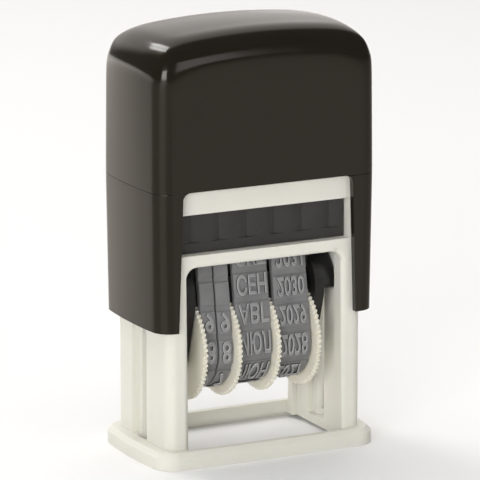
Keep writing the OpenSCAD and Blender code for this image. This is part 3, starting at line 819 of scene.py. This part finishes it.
# Each circle of the loop with the angles where the band meets and leaves it, its arc and the run after it
LOOP_RUNS = []
for i, (y, z, r) in enumerate(LOOP):
    begin, (end, run) = run_after(i + 2)[0], run_after(i)
    arc = r * ((end - begin) % (2 * math.pi))
    LOOP_RUNS.append((y, z, r, begin, end, arc, run))
BAND_LEN = sum(arc + run for *_, arc, run in LOOP_RUNS)
TILE_STEP = BAND_LEN / TILE_COUNT


def on_loop(s, lift):
    """Place (y, z) of a point at length s along the loop, raised by lift."""
    s = s % BAND_LEN
    for y, z, r, begin, end, arc, run in LOOP_RUNS:
        if s <= arc + run:
            break
        s -= arc + run
    angle, past = (begin + s / r, 0) if s <= arc else (end, s - arc)
    return (y + (r + lift) * math.cos(angle) - past * math.sin(angle),
            z + (r + lift) * math.sin(angle) + past * math.cos(angle))


def tile_strip(x, width):
    """The flat band: one tile with half a groove at each end, repeated along Y."""
    half = (TILE_STEP - TILE_GROOVE) / 2
    strip = block("strip", (x, -TILE_STEP / 2, 0), (x + width, TILE_STEP / 2, BAND_T))
    slices(strip, 1, [-half + 2 * half * k / 10 for k in range(11)])
    choose(strip, "FACE", lambda f: f.normal.z > SQUARE_ON and abs(f.calc_center_median().y) < half)
    raise_faces((0, 0, TILE_H))
    done()
    choose(strip, "EDGE", lambda e: all(v.co.z > BAND_T + 0.1 for v in e.verts) and not e.is_boundary
           and e.calc_face_angle(0) > 1)
    bpy.ops.mesh.bevel(offset=TILE_ROUND, segments=2, affect="EDGES")
    done()
    choose(strip, "FACE", lambda f: abs(f.normal.y) > SQUARE_ON
           and abs(f.calc_center_median().y) > half + 0.1)
    bpy.ops.mesh.delete(type="FACE")
    done()
    finish_with(strip, "ARRAY", count=TILE_COUNT, use_relative_offset=False, use_constant_offset=True,
                constant_offset_displace=(0, TILE_STEP, 0), use_merge_vertices=True, merge_threshold=0.001)
    return strip


def raised_figure(label, x, width, y):
    """A label of the given width, centred on a tile of the flat band, with chamfered edges."""
    bpy.ops.object.select_all(action="DESELECT")
    bpy.ops.object.text_add()
    text = bpy.context.object
    text.data.body = label
    text.data.size = TYPE_SIZE
    text.data.extrude = FIGURE_HALF
    text.data.bevel_depth = FIGURE_CHAMFER
    text.data.bevel_resolution = 0
    text.data.resolution_u = 3
    bpy.ops.object.convert(target="MESH")
    text = bpy.context.object
    xs = [v.co.x for v in text.data.vertices]
    text.scale = (width / (max(xs) - min(xs)), FIGURE_TALL / CAPITAL_H, 1)
    text.location = (x - (max(xs) + min(xs)) / 2 * text.scale[0], y - FIGURE_TALL / 2,
                     CREST - (FIGURE_HALF + FIGURE_CHAMFER))
    settle(text)
    choose_all(text)
    bpy.ops.mesh.remove_doubles(threshold=0.001)
    done()
    slices(text, 1, [y + FIGURE_TALL * (k / 6 - 0.5) for k in range(1, 6)])
    return text


def make_band(name, labels, figure_w, along):
    """Labels start at the tile in the middle of the drum's front and go down and round with the loop."""
    low, high = box_of(f"{name}_band")
    x, width = low[0], high[0] - low[0]
    parts = [tile_strip(x, width)]
    for i, label in enumerate(labels):
        if label:
            parts.append(raised_figure(label, x + width / 2, figure_w, i * TILE_STEP))
    band = joined(f"{name}_band_figures", *parts)
    lift = band.data.attributes.new("lift", "FLOAT", "POINT")
    for v in band.data.vertices:
        lift.data[v.index].value = v.co.z
        v.co.y, v.co.z = on_loop(v.co.y + TILE_SHIFT + along, v.co.z)
    choose_all(band)
    bpy.ops.mesh.remove_doubles(threshold=0.002)
    bpy.ops.mesh.normals_make_consistent(inside=False)
    done()
    smooth(band, angle=32)
    to_metres(band)
    place_on(band, "carriage", grey_rubber, f"{name}_band")


DAYS = ["8", "7", "6", "5", "4", "3", "2", "1", "0", "", "", "9"]
# Months from July back to August, in Cyrillic letters
MONTHS = ["\u0418\u042e\u041b", "\u0418\u042e\u041d", "\u041c\u0410\u0419", "\u0410\u041f\u0420",
          "\u041c\u0410\u0420", "\u0424\u0415\u0412", "\u042f\u041d\u0412", "\u0414\u0415\u041a",
          "\u041d\u041e\u042f", "\u041e\u041a\u0422", "\u0421\u0415\u041d", "\u0410\u0412\u0413"]
YEARS = [str(year) for year in (2028, 2027, 2026, 2025, 2024, 2035, 2034, 2033, 2032, 2031, 2030, 2029)]

# Each band with its labels, their width and how far the band is moved on along its loop
make_band("day_tens", DAYS, figure_w=1.9, along=0.05)
make_band("day_units", DAYS, figure_w=1.9, along=0.3)
make_band("month", MONTHS, figure_w=6.4, along=-0.9)
make_band("year", YEARS, figure_w=5.8, along=0.43)


# Spring and felt

def make_spring():
    bpy.ops.object.select_all(action="DESELECT")
    bpy.ops.mesh.primitive_circle_add(vertices=10, radius=WIRE_R, location=(COIL_R, 0, SPRING_LOW + WIRE_R),
                                      rotation=(math.pi / 2, 0, 0))
    spring = bpy.context.object
    spring.name = spring.data.name = "cap_spring"
    settle(spring)
    rise = SPRING_HIGH - SPRING_LOW - 2 * WIRE_R
    finish_with(spring, "SCREW", axis="Z", screw_offset=rise / TURNS, iterations=TURNS, steps=28,
                render_steps=28, use_merge_vertices=False)
    choose(spring, "EDGE", lambda e: e.is_boundary)
    bpy.ops.mesh.edge_face_add()
    done()
    choose_all(spring)
    bpy.ops.mesh.normals_make_consistent(inside=False)
    done()
    smooth(spring)
    to_metres(spring)
    place_on(spring, "frame", steel, "return_spring")
    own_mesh(spring)


def make_felt():
    pad = block("ink_felt", FELT_LOW, FELT_HIGH)
    choose(pad, "EDGE", lambda e: True)
    bpy.ops.mesh.bevel(offset=FELT_ROUND, segments=3, affect="EDGES")
    done()
    slices(pad, 0, range(-12, 13, 2))
    slices(pad, 1, range(-6, 7, 2))
    push(pad, lambda p: abs(p.x) < FELT_HIGH[0] - FELT_MARGIN and abs(p.y) < FELT_HIGH[1] - FELT_MARGIN
         and p.z < FELT_LOW[2] + NEAR, (0, 0, -FELT_SWELL))
    finish_with(pad, "SUBSURF", levels=1, render_levels=1)
    smooth(pad, angle=60)
    to_metres(pad)
    place_on(pad, "frame", felt, "ink_pad")


make_spring()
make_felt()
